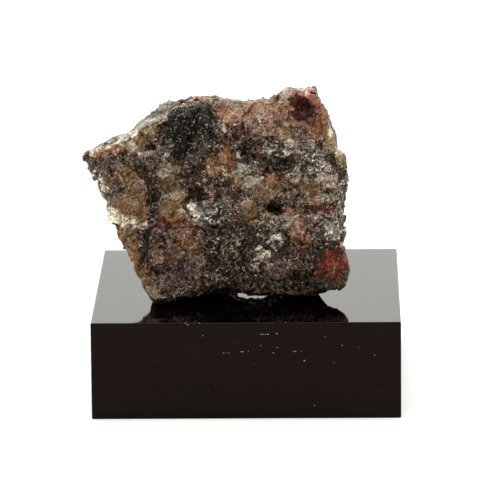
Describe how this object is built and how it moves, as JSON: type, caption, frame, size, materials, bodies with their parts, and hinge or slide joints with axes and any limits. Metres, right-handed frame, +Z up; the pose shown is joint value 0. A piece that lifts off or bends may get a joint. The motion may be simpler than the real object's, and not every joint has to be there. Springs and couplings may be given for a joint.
{
  "type": "tourmaline in pegmatite on a display block",
  "caption": "Broken lump of mixed feldspar, mica and quartz pegmatite with black and red tourmaline crystals set in it, resting on a square black acrylic display block.",
  "frame": {"origin": "middle of the display block's underside", "axes": "+Z up, -Y towards the viewer, that is out of the stone's front face, +X to the viewer's right"},
  "size_m": [0.052, 0.05, 0.0513],
  "materials": {
    "black_acrylic": "polished",
    "pegmatite": "rough broken, glittering",
    "black_tourmaline": "striated, part glossy",
    "red_brown_tourmaline": "glassy",
    "red_tourmaline": "satin, granular"
  },
  "bodies": {
    "root": {"display_block": "black_acrylic", "pegmatite_matrix": "pegmatite", "black_tourmaline": "black_tourmaline", "red_brown_tourmaline": "red_brown_tourmaline", "red_tourmaline": "red_tourmaline"}
  },
  "joints": []
}
